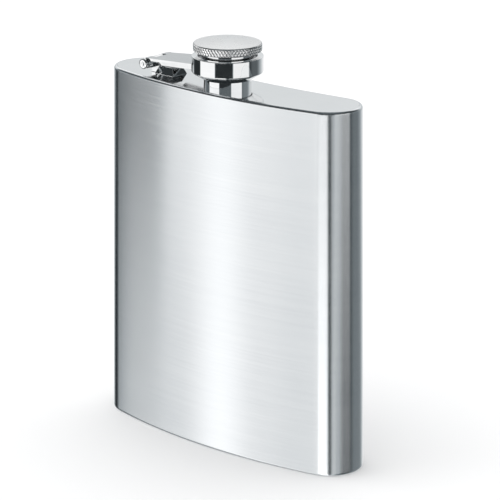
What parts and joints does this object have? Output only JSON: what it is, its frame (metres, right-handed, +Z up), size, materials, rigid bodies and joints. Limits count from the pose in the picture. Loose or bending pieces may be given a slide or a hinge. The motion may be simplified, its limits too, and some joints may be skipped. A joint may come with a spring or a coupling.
{
  "type": "hip flask",
  "caption": "Curved pocket hip flask in brushed steel with a knurled screw cap held on a hinged lever by a cup-shaped collar around the neck.",
  "frame": {"origin": "centre of the flask's footprint on the surface it stands on", "axes": "+Z up along the neck, +X to the right across the width, -Y the convex front, +Y the concave back"},
  "size_m": [0.095, 0.0242, 0.1195],
  "materials": {
    "shell_steel": "stainless steel, fine horizontal brushing, satin",
    "plate_steel": "stainless steel, very fine satin, near mirror",
    "polished_steel": "polished stainless steel, mirror",
    "cap_steel": "turned stainless steel, satin top, knurled edge",
    "spring_steel": "hard-drawn spring steel, dull",
    "seal_rubber": "food-grade silicone, matt, translucent white"
  },
  "bodies": {
    "flask": {"body_shell": "shell_steel", "top_plate": "plate_steel", "bottom_plate": "plate_steel", "neck_spout": "polished_steel", "hinge_bracket": "polished_steel", "hinge_pin": "polished_steel"},
    "lever": {"lever_arm": "polished_steel", "cap_collar": "polished_steel"},
    "cap_carrier": {"retaining_ring": "spring_steel"},
    "cap": {"cap_head": "cap_steel", "cap_sleeve": "polished_steel", "cap_gasket": "seal_rubber"}
  },
  "joints": [
    {"name": "arm_hinge", "type": "hinge", "parent": "flask", "child": "lever", "pos_m": [-0.0297, -0.0012, 0.109], "axis": [0, -1, 0], "range_deg": [0, 175]},
    {"name": "cap_lift", "type": "slide", "parent": "lever", "child": "cap_carrier", "axis": [0, 0, 1], "range_m": [-0.00125, 0]},
    {"name": "cap_spin", "type": "hinge", "parent": "cap_carrier", "child": "cap", "pos_m": [0, -0.0012, 0.1165], "axis": [0, 0, 1], "range_deg": [-450, 0]}
  ],
  "couplings": [
    {"joint": "cap_lift", "follows": "cap_spin", "m_per_rad": 0.00015915}
  ]
}
